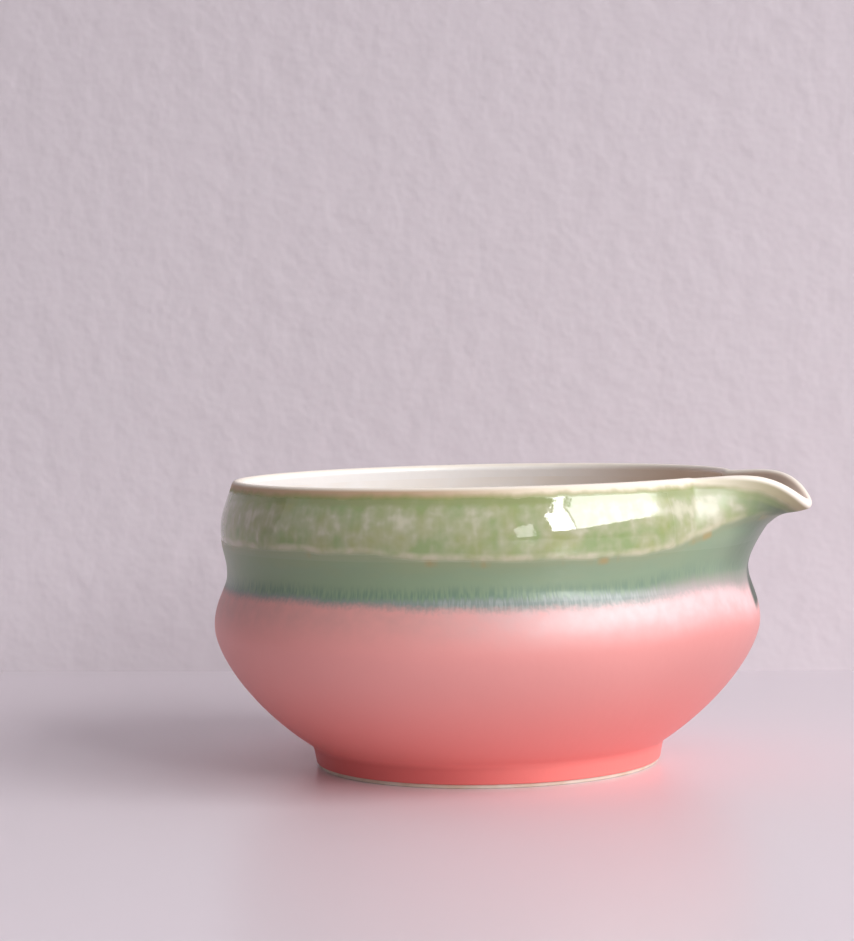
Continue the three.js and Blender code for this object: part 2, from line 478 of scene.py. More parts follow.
@dataclass
class SpunWall:
    """The Geometry Nodes tree that carries a section round the bowl, and what it makes.

    The tree walks a circle of steps that crowd at the spout. At each step it draws the section's points from the
    plain outline towards the spout's, finds which way the surface faces there, and sets each point under or past it.
    """

    form: BowlForm
    axis: Vector
    steps_around: int = 360
    crowding: float = 0.6
    band_radius: float = 62.0
    crease_angle: float = 38.0
    welded: float = 1e-6
    same_place: float = 2e-6
    most_meeting: int = 16
    made: list[Object] = field(default_factory=list)

    FIELDS = ("plain", "plain_below", "plain_above", "spouted", "spouted_below", "spouted_above", "coat")
    GEOMETRY = "GeometryNodeTree"

    def __post_init__(self) -> None:
        """Builds the tree once, for every piece."""
        self.tree = self.wall_tree(self.point_group())
        self.sockets = {s.name: s.identifier for s in self.tree.interface.items_tree if s.in_out == "INPUT"}

    def point_group(self) -> NodeTree:
        """Builds the rule for one point of the wall.

        Returns:
            A node group from the two outlines' points and an angle to a place.
        """
        inputs = {"Plain": "Vector", "Spouted": "Vector", "Angle": "Float", "Fullness": "Float", "Dip": "Float"}
        group = new_group("wall point", self.GEOMETRY, inputs, {"Place": "Vector"})
        put = partial(add_node, group)
        given = put("NodeGroupInput").outputs
        plain, spouted = (put(SPLIT, given[name]).outputs for name in ("Plain", "Spouted"))
        sine, cosine = put(Op.SINE, given["Angle"]), put(Op.COSINE, given["Angle"])
        away = put(Op.ABSOLUTE, put(Op.ANGLE, sine, cosine))
        away = put(Op.LEAST, put(Op.DIVIDE, away, plain[2]), 1.0)
        wave = put(Op.COSINE, put(Op.MULTIPLY, away, math.pi))
        wave = put(Op.MOST, put(Op.MULTIPLY_ADD, wave, 0.5, 0.5), 0.0)
        share = put(Op.POWER, wave, given["Fullness"])
        lowered = put(Op.POWER, share, given["Dip"])
        radius = put(Op.BLEND, share, plain[0], spouted[0])
        height = put(Op.BLEND, lowered, plain[1], spouted[1])
        east, north = put(Op.MULTIPLY, radius, cosine), put(Op.MULTIPLY, radius, sine)
        put("NodeGroupOutput", put(JOIN, east, north, height))
        return group

    def wall_tree(self, point: NodeTree) -> NodeTree:
        """Builds the tree that spins a section.

        Args:
            point: The rule for one point of the wall.

        Returns:
            The tree, whose inputs are the form's own numbers and the finish.
        """
        inputs = {"Section": "Geometry", "Steps Around": "Int", "Axis": "Vector", "Finish": "Material"}
        for name in ("Crowding at Spout", "Spout Fullness", "Spout Dip", "Slope Step", "Band Radius"):
            inputs[name] = "Float"
        tree = new_group("spun wall", self.GEOMETRY, inputs, {"Wall": "Geometry"})
        put = partial(add_node, tree)
        given = put("NodeGroupInput").outputs

        circle = put("GeometryNodeCurvePrimitiveCircle", given["Steps Around"], mode="RADIUS")
        turn = put(Op.DIVIDE, put("GeometryNodeInputIndex"), given["Steps Around"])
        stored = {"Geometry": circle, "Name": "turn", "Value": put(Op.MULTIPLY, turn, 2 * math.pi)}
        circle = put("GeometryNodeStoreNamedAttribute", into=stored, data_type="FLOAT")
        wall = put("GeometryNodeCurveToMesh", circle, put("GeometryNodeMeshToCurve", given["Section"]))

        turn = put("GeometryNodeInputNamedAttribute", "turn", data_type="FLOAT")
        crowd = put(Op.MULTIPLY, put(Op.SINE, turn), given["Crowding at Spout"])
        angle = put(Op.SUBTRACT, turn, crowd)
        ahead, behind = (put(op, angle, given["Slope Step"]) for op in (Op.ADD, Op.SUBTRACT))
        rows = {n: put("GeometryNodeInputNamedAttribute", n, data_type="FLOAT_VECTOR") for n in self.FIELDS}
        shape = (given["Spout Fullness"], given["Spout Dip"])
        here, lower, upper, after, before = (
            put("GeometryNodeGroup", rows["plain" + level], rows["spouted" + level], turned, *shape, node_tree=point)
            for level, turned in (("", angle), ("_below", angle), ("_above", angle), ("", ahead), ("", behind))
        )
        up = put(Op.V_UNIT, put(Op.V_SUBTRACT, upper, lower))
        outward = put(Op.V_UNIT, put(Op.V_CROSS, put(Op.V_SUBTRACT, after, before), up))
        depth, rise, band = put(SPLIT, rows["coat"]).outputs
        place = put(Op.V_SUBTRACT, here, put(Op.V_SCALE, outward, depth))
        place = put(Op.V_ADD, place, put(Op.V_SCALE, up, rise))
        place = put(Op.V_ADD, place, given["Axis"])
        wall = put("GeometryNodeSetPosition", into={"Geometry": wall, "Position": place})

        east, north = (put(Op.MULTIPLY, put(op, angle), given["Band Radius"]) for op in (Op.COSINE, Op.SINE))
        stored = {"Geometry": wall, "Name": GLAZE_SPACE, "Value": put(JOIN, east, north, band)}
        wall = put("GeometryNodeStoreNamedAttribute", into=stored, data_type="FLOAT_VECTOR")
        wall = put("GeometryNodeMergeByDistance", into={"Geometry": wall, "Distance": self.welded})
        wall = put("GeometryNodeRealizeInstances", put("GeometryNodeSetShadeSmooth", wall))
        wall = put("GeometryNodeSetMaterial", into={"Geometry": wall, "Material": given["Finish"]})
        put("NodeGroupOutput", wall)
        return tree

    def spin(self, section: Section, finish: Material) -> Object:
        """Carries a section round the bowl.

        Args:
            section: The cut edge of the piece.
            finish: The material over the whole piece.

        Returns:
            A closed mesh object whose faces point outwards.
        """
        rows = section.table()
        count = len(rows)
        ends = [(i, (i + 1) % count) for i in range(count if section.closed else count - 1)]
        line = bpy.data.meshes.new(section.name + "_section")
        line.from_pydata([(r, 0, z) for r, z, _ in rows[:, 0]], ends, [])
        for k, name in enumerate(self.FIELDS):
            line.attributes.new(name, "FLOAT_VECTOR", "POINT").data.foreach_set("vector", rows[:, k].ravel())
        carrier = new_object(line.name, line)
        modifier = carrier.modifiers.new("spun wall", "NODES")
        modifier.node_group = self.tree
        for label, value in (
            ("Steps Around", self.steps_around),
            ("Crowding at Spout", self.crowding),
            ("Spout Fullness", self.form.fullness),
            ("Spout Dip", self.form.dip),
            ("Slope Step", self.form.slope_step),
            ("Band Radius", self.band_radius * MM),
            ("Axis", self.axis),
            ("Finish", finish),
        ):
            modifier[self.sockets[label]] = value
        graph = bpy.context.evaluated_depsgraph_get()
        mesh = bpy.data.meshes.new_from_object(carrier.evaluated_get(graph), depsgraph=graph)
        bpy.data.objects.remove(carrier)
        for name in (*self.FIELDS, "turn"):
            mesh.attributes.remove(mesh.attributes[name])
        if self.volume(mesh) < 0:
            mesh.flip_normals()
        mesh.name = section.name
        piece = new_object(section.name, mesh)
        self.made.append(piece)
        return piece

    @staticmethod
    def volume(mesh: Mesh) -> float:
        """Finds the volume that a closed mesh holds.

        Args:
            mesh: The mesh.

        Returns:
            Its volume in cubic metres, negative where its faces point inwards.
        """
        mesh.calc_loop_triangles()
        corners = read(mesh.loop_triangles, "vertices", 3, np.int32)
        a, b, c = read(mesh.vertices, "co", 3)[corners].transpose(1, 0, 2)
        return float((a * np.cross(b, c)).sum() / 6)

    def share_shading(self) -> None:
        """Shades all pieces as one surface, so that no joint between two coats shows in a reflection.

        Every corner gets the mean normal of the faces that meet at its place in any piece, save those that turn
        away by more than the crease angle.
        """
        places, facing, owners = [], [], []
        for piece in self.made:
            mesh = piece.data
            size = read(mesh.polygons, "loop_total", kind=np.int32)
            faces = np.column_stack([read(mesh.polygons, "normal", 3), read(mesh.polygons, "area") / size])
            places.append(read(mesh.vertices, "co", 3)[read(mesh.loops, "vertex_index", kind=np.int32)])
            facing.append(np.repeat(faces, size, axis=0))
            owners.append(len(mesh.loops))
        place, faces = np.concatenate(places), np.concatenate(facing)
        # The steps give every small cell of space a number of its own
        key = np.round(place / self.same_place).astype(np.int64) @ np.array([1, 200003, 40001200009])
        order = np.argsort(key, kind="stable")
        key, normal, weight = key[order], faces[order, :3], faces[order, 3:]
        total = normal * weight
        limit = math.cos(math.radians(self.crease_angle))
        for shift in range(1, self.most_meeting):
            near = (key[shift:] == key[:-shift]) & ((normal[shift:] * normal[:-shift]).sum(1) > limit)
            total[shift:][near] += (normal * weight)[:-shift][near]
            total[:-shift][near] += (normal * weight)[shift:][near]
        total /= np.linalg.norm(total, axis=1, keepdims=True)
        shaded = np.empty_like(total)
        shaded[order] = total
        start = 0
        for piece, count in zip(self.made, owners):
            piece.data.normals_split_custom_set(shaded[start : start + count].tolist())
            start += count


@dataclass(frozen=True)
class Side:
    """A side of the bowl, in degrees from the spout, and how far from it its share is down to 0 and still 1."""

    angle: float
    far: float
    close: float


@dataclass
class LayeredGlaze:
    """Three glazes dipped one over another and run together in the kiln, as one node group for all outer coats.

    Heights are millimetres on the plain wall, and the bands are painted over the coats' joints, so that a run or a
    spot crosses them. A noise's scale is one over the real size of what it draws, in millimetres.
    """

    coral: str = "#f2a39e"
    coral_near: str = "#d98f8b"
    coral_deep_and_lit: str = "#fa8b84"
    coral_foot_shade: str = "#dd6a66"
    coral_pale: str = "#e5c2c3"
    coral_dull: str = "#cb9994"
    run_grey: str = "#808c86"
    run_white: str = "#99a19d"
    run_rose: str = "#b3a2a2"
    spout_shade: str = "#2f5236"
    dark_stripe: str = "#3a4a3c"
    sage: str = "#869c7b"
    sage_yellow: str = "#8b9c78"
    sage_dark: str = "#5c7b6b"
    sage_grey: str = "#7f8f80"
    moss: str = "#8a9e66"
    moss_yellow: str = "#979f64"
    moss_pale: str = "#b0af91"
    moss_white: str = "#c6c4aa"
    olive: str = "#8c9660"
    cream: str = "#c4bda2"
    amber: str = "#a38d5a"
    tan: str = "#c2a586"
    rim_pale_lit: str = "#ebe2cc"
    rim_green: str = "#a69f7f"
    lip: str = "#f2e9dd"
    poured: str = "#fcfbfb"
    poured_shade: str = "#dcc7b6"

    coral_edge: float = 42.1
    low_drop: float = 1.2
    spout_lift: float = 0.6
    run_height: float = 0.95
    run_more: float = 0.8
    dark_stripe_height: float = 45.0
    line_height: float = 53.8
    line_drop: float = 2.0
    line_lift: float = 5.7
    line_half_angle: float = 42.0
    bead_drop: float = 1.3
    olive_height: float = 65.25
    rim_height: float = 66.2
    spout_shade_heights: tuple[float, float] = (40.0, 54.0)
    poured_heights: tuple[float, float] = (69.6, 71.0)
    moss_heights: tuple[float, float] = (56.5, 67.0)
    moss_tones: tuple[tuple[float, float], ...] = (
        (0.0, 0.36), (0.25, 0.42), (0.45, 0.58), (0.72, 0.64), (0.86, 0.54), (1.0, 0.3)
    )
    hanging_stretch: tuple[float, float, float] = (1, 1, 0.16)
    lying_stretch: tuple[float, float, float] = (0.3, 0.3, 1)

    near_spout: Side = Side(0, 40, 8)
    low_side: Side = Side(-56, 44, 6)
    run_side: Side = Side(0, 45, 18)
    pale_side: Side = Side(0, 95, 30)
    tip: Side = Side(0, 20, 3)
    spout_shade_side: Side = Side(3, 19, 6)
    dark_stripe_side: Side = Side(8, 5.5, 2.5)

    def __post_init__(self) -> None:
        """Opens the group, and finds where on the bowl a point is and how near to each side."""
        outputs = {"Color": "Color", "Roughness": "Float", "Normal": "Vector"}
        self.tree = new_group("layered glaze", "ShaderNodeTree", {}, outputs)
        self.put = put = partial(add_node, self.tree)
        space = put("ShaderNodeAttribute", attribute_name=GLAZE_SPACE)
        self.place = put(Op.V_SCALE, space.outputs["Vector"], 1 / MM)
        east, north, self.height = put(SPLIT, self.place).outputs
        self.around = put(JOIN, east, north)
        self.hanging = put(Op.V_MULTIPLY, self.place, self.hanging_stretch)
        self.facing = put(Op.V_UNIT, self.around)
        self.by_spout, self.by_low, self.by_run, self.by_pale, self.by_tip = (
            self.towards(side) for side in (self.near_spout, self.low_side, self.run_side, self.pale_side, self.tip)
        )

    def towards(self, side: Side) -> Node:
        """Finds how near a point is to a side of the bowl.

        Args:
            side: The side.

        Returns:
            A node that fades from 0 to 1.
        """
        angle, *ends = (math.radians(a) for a in (side.angle, side.far, side.close))
        dot = self.put(Op.V_DOT, self.facing, (math.cos(angle), math.sin(angle), 0))
        return self.put(Op.FADE, dot, *map(math.cos, ends))

    def stripe(self, above: Node, half: float, soft: float, strength: Node) -> Node:
        """Paints a stripe, full to half its width from the height that it lies above and faded out at soft."""
        return self.put(Op.FADE, self.put(Op.ABSOLUTE, above), soft, half, 0.0, strength)

    def total(self, start: Node | float, *parts: tuple[Node, float]) -> Node:
        """Adds parts of other values to a value.

        Args:
            start: The value.
            *parts: Each other value, with how much of it is added.

        Returns:
            A node for the sum.
        """
        for value, share in parts:
            start = self.put(Op.MULTIPLY_ADD, value, share, start)
        return start

    def layered(self, base: Node | str, *coats: tuple[Node, Node | str | float], kind: Op = Op.TINT) -> Node:
        """Lays colours over a colour, or numbers over a number.

        Args:
            base: What they cover.
            *coats: The share of each one, and what it lays there, from the lowest up.
            kind: How they mix: TINT for colours, and BLEND for numbers.

        Returns:
            A node for the result.
        """
        for share, coat in coats:
            base = self.put(kind, share, base, coat)
        return base

    def group(self) -> NodeTree:
        """Paints the layers from the lowest up, with their gloss and relief.

        Returns:
            A shader group with Color, Roughness and Normal outputs.
        """
        put, by_low, by_run = self.put, self.by_low, self.by_run
        # Swells of the dipped edges 25 and 7 mm long, and drawn streaks 0.55 and 1.9 mm apart
        swell, ripple = (put(NOISE, self.around, 1 / size, 1.0) for size in (25, 7))
        fine = put(NOISE, self.hanging, 1 / 0.55, 1.0)
        broad = put(NOISE, self.hanging, 1 / 1.9, 2.0)
        fleck = put(NOISE, self.place, 1 / 0.8, 2.0)

        lows = ((by_low, -self.low_drop), (self.by_spout, self.spout_lift), (swell, 1.2), (ripple, 0.8))
        edge = self.total(self.coral_edge, *lows)
        green_edge = put(Op.ADD, edge, self.total(self.run_height, (by_run, self.run_more), (by_low, 1.2)))
        above_edge, above_green = (put(Op.SUBTRACT, self.height, low) for low in (edge, green_edge))
        combed = put(Op.SUBTRACT, above_green, self.total(-1.2, (fine, 1.2), (broad, 1.2)))
        soft = put(Op.MULTIPLY_ADD, by_run, 1.7, 0.8)
        green = put(Op.FADE, combed, put(Op.MULTIPLY, soft, -1.0), soft)
        run = put(Op.FADE, put(Op.MULTIPLY_ADD, fleck, 1.4, above_edge), -0.7, 1.9)

        ahead = put(Op.V_DOT, self.facing, (1, 0, 0))
        ahead = put(Op.SPREAD, ahead, math.cos(math.radians(self.line_half_angle)), 1.0)
        lifts = ((put(Op.POWER, ahead, 3.0), self.line_lift), (by_low, -self.line_drop), (swell, 1.0), (ripple, 1.0))
        above_line = put(Op.SUBTRACT, self.height, self.total(self.line_height, *lifts))
        moss = put(Op.FADE, above_line, -1.0, 0.2)

        light = put(Op.MULTIPLY, put(Op.SPREAD, fine, 0.44, 0.62), put(Op.MULTIPLY_ADD, by_low, 0.7, 0.08))
        runs = self.layered(self.run_grey, (light, self.run_white), (by_run, self.run_rose))
        # Painted shade and painted dark reflection under the spout: a dark green near it, from 40 mm up, more over
        # the moss
        under = put(Op.MULTIPLY, put(Op.FADE, self.height, *self.spout_shade_heights), self.towards(self.spout_shade_side))
        spout_shaded = put(Op.MULTIPLY, put(Op.MULTIPLY_ADD, moss, 0.25, 0.6), under)
        # A dark green stripe 8 degrees from the spout, about 45 mm up
        middle = put(Op.SUBTRACT, self.height, self.dark_stripe_height)
        color = self.layered(
            self.coral_layer(above_edge),
            (run, runs),
            (green, self.sage_layer(fine, above_green, above_line)),
            (moss, self.mottled_layer()),
            (spout_shaded, self.spout_shade),
            (self.stripe(middle, 5.5, 8.5, self.towards(self.dark_stripe_side)), self.dark_stripe),
        )
        color = self.line_layer(color, above_line)
        inside = put(Op.FADE, self.height, *self.poured_heights)
        color, thin = self.rim_layer(color, inside)

        dull = put(Op.MULTIPLY, self.by_spout, 1.4, use_clamp=True)
        coats = ((moss, put(Op.BLEND, dull, 0.06, 0.42)), (thin, 0.55), (inside, 0.1))
        rough = self.layered(put(Op.BLEND, green, 0.42, 0.3), *coats, kind=Op.BLEND)

        # A skin like orange peel 2.2 mm across, a swell 6 mm long, and the thickness of each glaze at its edge
        skin = put(Op.MULTIPLY, put(NOISE, self.place, 1 / 2.2, 1.5), 0.032)
        wave = put(NOISE, self.place, 1 / 6, 1.0)
        relief = self.total(skin, (wave, 0.05), (green, 0.04), (moss, 0.04))
        bump = put("ShaderNodeBump", into={"Distance": MM, "Height": relief})
        put("NodeGroupOutput", color, rough, bump)
        return self.tree

    def coral_layer(self, above_edge: Node) -> Node:
        """Paints the coral glaze, deeper towards the foot with its red raised there as painted light, with painted
        shade at the foot's base, and clouded under the green.

        Args:
            above_edge: A point's height over the coral's upper edge.

        Returns:
            A node for the colour.
        """
        put, height, by_pale = self.put, self.height, self.by_pale
        cloud = put(NOISE, self.place, 1 / 3.2, 3.0)
        veiled = put(Op.MULTIPLY_ADD, by_pale, 0.35, 0.6)
        veiled = put(Op.MULTIPLY, veiled, put(Op.FADE, above_edge, -10.5, -1.5))
        veiled = put(Op.MULTIPLY_ADD, put(Op.MULTIPLY_ADD, cloud, 1.1, -0.55), veiled, veiled, use_clamp=True)
        near = put(Op.MULTIPLY, put(Op.MULTIPLY_ADD, self.by_run, 0.7, by_pale), 0.55)
        color = put(Op.TINT, near, self.coral, self.coral_near)
        # Deeper coral towards the foot, full below 4 mm and gone by 30 mm: partly its own colour, and partly painted
        # light, its red raised near full
        color = put(Op.TINT, put(Op.FADE, height, 4.0, 30.0), self.coral_deep_and_lit, color)
        veil = put(Op.TINT, by_pale, self.coral_dull, self.coral_pale)
        # Painted shade at the foot's base, below 6 mm, faded out on the pale side
        low = put(Op.FADE, height, 6.0, 4.2, 0.0, put(Op.MULTIPLY_ADD, by_pale, -0.85, 1.0))
        return self.layered(color, (veiled, veil), (low, self.coral_foot_shade))

    def sage_layer(self, fine: Node, above_green: Node, above_line: Node) -> Node:
        """Paints the sage glaze, which gathers darker in the streaks of its lower edge.

        Args:
            fine: The fine streaks, about 0.5.
            above_green: A point's height over the sage's lower edge.
            above_line: Its height over the cream line.

        Returns:
            A node for the colour.
        """
        put, by_run = self.put, self.by_run
        cloud = put(NOISE, put(Op.V_MULTIPLY, self.place, self.lying_stretch), 1 / 2.6, 2.0)
        warm = put(Op.FADE, put(Op.MULTIPLY_ADD, cloud, 8.0, above_line), -2.0, 3.0)
        streak = put(Op.SPREAD, fine, 0.38, 0.62, 0.25, 1.0)
        low = put(Op.FADE, put(Op.MULTIPLY_ADD, by_run, -1.6, above_green), 3.8, 0.6)
        dark = put(Op.MULTIPLY, put(Op.MULTIPLY, streak, low), put(Op.MULTIPLY_ADD, by_run, -0.3, 0.75))
        greyed = put(Op.MULTIPLY, self.by_pale, 0.35)
        return self.layered(self.sage, (warm, self.sage_yellow), (dark, self.sage_dark), (greyed, self.sage_grey))

    def mottled_layer(self) -> Node:
        """Paints the mottled moss glaze, paler in its upper half and beside the spout.

        Returns:
            A node for the colour.
        """
        put = self.put
        # Blotches 2 to 3 mm wide, over faint columns where the glaze slid
        patch = put(NOISE, self.place, 1 / 3.0, 1.5)
        slid = put(NOISE, self.hanging, 1 / 1.8, 1.0)
        hue = put(Op.SPREAD, put(NOISE, self.place, 1 / 7.5, 1.0), 0.4, 0.65)
        uneven = put(NOISE, self.place, 1 / 2.6, 2.0)
        level = put(Op.SPREAD, put(Op.MULTIPLY_ADD, uneven, 5.0, self.height), *self.moss_heights)
        trend = put("ShaderNodeValToRGB", level)
        trend.color_ramp.interpolation = "EASE"
        for at, _ in self.moss_tones[1:-1]:
            trend.color_ramp.elements.new(at)
        for stop, (_, tone) in zip(trend.color_ramp.elements, self.moss_tones):
            stop.color = (tone, tone, tone, 1)
        mixed = self.total(trend, (patch, 1.3), (slid, 0.5), (self.by_spout, 0.25), (self.by_tip, -0.4))
        pale, white = put(Op.FADE, mixed, 0.95, 1.95), put(Op.FADE, mixed, 1.5, 2.1)
        return self.layered(self.moss, (hue, self.moss_yellow), (pale, self.moss_pale), (white, self.moss_white))

    def line_layer(self, color: Node, above_line: Node) -> Node:
        """Paints the broken cream line where the moss glaze ends, with amber beads under it.

        Args:
            color: The colour so far.
            above_line: A point's height over the cream line.

        Returns:
            A node for the colour.
        """
        put = self.put
        broken = put(Op.SPREAD, put(NOISE, self.place, 1 / 4.5, 2.0), 0.38, 0.62, 0.15, 0.75)
        broken = put(Op.MULTIPLY, broken, put(Op.MULTIPLY_ADD, self.by_tip, -0.8, 1.0))
        beads = put(Op.FADE, put(NOISE, self.around, 1 / 5, 2.0), 0.54, 0.7, 0.1, 0.8)
        lower = put(Op.ADD, above_line, self.bead_drop)
        line, beads = self.stripe(above_line, 0.1, 1.3, broken), self.stripe(lower, 0.1, 1.3, beads)
        return self.layered(color, (line, self.cream), (beads, self.amber))

    def rim_layer(self, color: Node, inside: Node) -> tuple[Node, Node]:
        """Paints the olive band, the edge, with painted shade in tan away from the spout and painted light in pale
        towards it, and the cream lip, which reaches lower at the spout.

        Args:
            color: The colour so far.
            inside: How far over the lip a point is, where the white liner shows.

        Returns:
            Nodes for the colour and for how thin the glaze is.
        """
        put, by_tip, by_pale = self.put, self.by_tip, self.by_pale
        uneven = put(NOISE, self.place, 1 / 3.5, 2.0)
        up = put(Op.SUBTRACT, put(Op.MULTIPLY_ADD, uneven, 1.4, self.height), 0.7)
        up = put(Op.MULTIPLY_ADD, by_tip, 1.5, up)
        thick = put(Op.SPREAD, put(NOISE, self.around, 1 / 9, 1.0), 0.3, 0.6, 0.35, 0.95)
        thick = put(Op.MULTIPLY, thick, put(Op.MULTIPLY_ADD, by_tip, -0.6, 1.0))
        band = self.stripe(put(Op.SUBTRACT, up, self.olive_height), 0.4, 1.6, thick)
        over = put(Op.SUBTRACT, up, self.rim_height)
        over = put(Op.MULTIPLY, over, put(Op.MULTIPLY_ADD, by_tip, -0.3, 1.0))
        # Painted light and shade: the one edge glaze is tan away from the spout and pale on the spout's side, which
        # faces the window
        edge = self.layered(self.tan, (by_pale, self.rim_pale_lit), (by_tip, self.rim_green))
        bead = self.stripe(over, 0.1, 0.9, put(Op.MULTIPLY_ADD, by_tip, -0.24, 0.26))
        lip = put(Op.FADE, put(Op.SUBTRACT, self.height, self.rim_height), 0.8, 2.0)
        color = self.layered(
            color,
            (band, self.olive),
            (put(Op.FADE, over, -0.7, 0.8), edge),
            (bead, self.amber),
            (lip, self.lip),
            # Painted shade on the inside over the lip, tan on the spout's side
            (inside, put(Op.TINT, by_pale, self.poured, self.poured_shade)),
        )
        return color, put(Op.FADE, over, -1.0, -0.1)


@dataclass(frozen=True)
class Finish:
    """A finish: what its shader gets all over, and whether it is clear from behind, as the room's surfaces are."""

    name: str
    roughness: float = 0.5
    ior: float = 1.5
    clear_behind: bool = False

    def paint(self, put: Callable[..., Node]) -> dict[str, object]:
        """Adds the finish's own nodes, and says what the shader's inputs get from them."""
        raise NotImplementedError

    def material(self) -> Material:
        """Builds the material.

        Returns:
            The material.
        """
        material = bpy.data.materials.new(self.name)
        material.use_nodes = True
        material.node_tree.nodes.clear()
        put = partial(add_node, material.node_tree)
        own = {"Roughness": self.roughness, "IOR": self.ior}
        shader = put("ShaderNodeBsdfPrincipled", into=own | self.paint(put))
        if self.clear_behind:
            back = put("ShaderNodeNewGeometry").outputs["Backfacing"]
            shader = put("ShaderNodeMixShader", back, shader, put("ShaderNodeBsdfTransparent"))
        put("ShaderNodeOutputMaterial", shader)
        return material


@dataclass(frozen=True)
class OuterGlaze(Finish):
    """One coat of the fired glazes outside: a glass with metal oxides over porcelain, satin where it went on last.

    A porcelain glaze is a glass, so it mirrors faintly like one. The group gives it colour, gloss and relief.
    """

    layers: NodeTree | None = None

    def paint(self, put: Callable[..., Node]) -> dict[str, object]:
        """Takes colour, gloss and relief from the layered glaze."""
        fired = put("ShaderNodeGroup", node_tree=self.layers).outputs
        return {"Base Color": fired["Color"], "Roughness": fired["Roughness"], "Normal": fired["Normal"]}


@dataclass(frozen=True)
class LinerGlaze(Finish):
    """A clear glossy glaze over white porcelain, whitest on the side away from the spout, with painted shade towards
    the spout and low inside the bowl.
    """

    name: str = "white liner glaze"
    roughness: float = 0.1
    ior: float = 1.54
    white: str = "#fcfbfb"
    warm: str = "#f8f3ee"
    tan: str = "#dcc7b6"
    deep: str = "#d2c1b1"
    shade_from: float = -12.0
    shade_full: float = 41.0
    deep_below: float = 44.0
    white_above: float = 58.0

    def paint(self, put: Callable[..., Node]) -> dict[str, object]:
        """Clouds the white 14 mm across, paints tan shade by the spout and a darker shade low down, and waves it 9 mm
        long.

        Args:
            put: What adds a node.

        Returns:
            The colour and relief.
        """
        place = put(Op.V_SCALE, put("ShaderNodeTexCoord").outputs["Object"], 1 / MM)
        cloud, wave = put(NOISE, place, 1 / 14, 2.0), put(NOISE, place, 1 / 9, 1.0)
        color = put(Op.TINT, put(Op.SPREAD, cloud, 0.4, 0.7), self.white, self.warm)
        east, _, up = put(SPLIT, place).outputs
        # Painted shade: tan towards the spout, and a darker tone low inside the bowl
        color = put(Op.TINT, put(Op.FADE, east, self.shade_from, self.shade_full), color, self.tan)
        color = put(Op.TINT, put(Op.FADE, up, self.white_above, self.deep_below), color, self.deep)
        return {"Base Color": color, "Normal": put("ShaderNodeBump", into={"Distance": 0.05 * MM, "Height": wave})}


@dataclass(frozen=True)
class BarePorcelain(Finish):
    """Fired porcelain without glaze, ground flat where it stands: off-white, dry and finely grained."""

    name: str = "bare porcelain"
    roughness: float = 0.75
    body: str = "#e6dccd"
    toasted: str = "#d9c3ac"
    grain: float = 0.35

    def paint(self, put: Callable[..., Node]) -> dict[str, object]:
        """Toasts the body in patches 6 mm across, and gives it grain.

        Args:
            put: What adds a node.

        Returns:
            The colour and relief.
        """
        place = put(Op.V_SCALE, put("ShaderNodeTexCoord").outputs["Object"], 1 / MM)
        toast, grain = put(NOISE, place, 1 / 6, 3.0), put(NOISE, place, 1 / self.grain, 2.0)
        color = put(Op.TINT, put(Op.SPREAD, toast, 0.35, 0.7), self.body, self.toasted)
        return {"Base Color": color, "Normal": put("ShaderNodeBump", into={"Distance": 0.02 * MM, "Height": grain})}


@dataclass(frozen=True)
class LacqueredBoard(Finish):
    """The table's pale lacquered board, which mirrors softly."""

    name: str = "pale lacquered board"
    roughness: float = 0.3
    clear_behind: bool = True
    tone: str = "#e0d7de"

    def paint(self, put: Callable[..., Node]) -> dict[str, object]:
        """Gives the board its one tone."""
        return {"Base Color": self.tone}


@dataclass(frozen=True)
class WallPaint(Finish):
    """Matt wall paint put on with a roller, which leaves a stipple 8 mm across, with painted shade that makes it a
    little darker higher up.
    """

    name: str = "matt wall paint"
    roughness: float = 0.9
    clear_behind: bool = True
    tone: str = "#e8dfe5"
    shade_tone_high: str = "#d4cbd1"
    high: float = 0.2
    stipple: float = 25 / 3

    def paint(self, put: Callable[..., Node]) -> dict[str, object]:
        """Paints shade upwards and gives the paint its stipple.

        Args:
            put: What adds a node.

        Returns:
            The colour and relief.
        """
        place = put("ShaderNodeTexCoord").outputs["Object"]
        stipple = put(NOISE, place, 1 / (self.stipple * MM), 2.0)
        up = put(SPLIT, place).outputs[2]
        # Painted shade: darker from the table up to 0.2 m
        color = put(Op.TINT, put(Op.SPREAD, up, 0.0, self.high), self.tone, self.shade_tone_high)
        return {"Base Color": color, "Normal": put("ShaderNodeBump", into={"Distance": 0.5 * MM, "Height": stipple})}


@dataclass
class Assembly:
    """Pieces of the bowl that are made together."""

    form: BowlForm

    def sections(self) -> list[Section]:
        """Cuts the section of each piece."""
        raise NotImplementedError

    def dress(self) -> dict[str, Material]:
        """Makes the material of each piece, by the piece's name."""
        raise NotImplementedError

    def build(self, wall: SpunWall) -> list[Piece]:
        """Spins the pieces.

        Args:
            wall: The tree that spins them.

        Returns:
            The pieces, in the order of their sections.
        """
        finishes = self.dress()
        return [Piece(section, wall.spin(section, finishes[section.name])) for section in self.sections()]


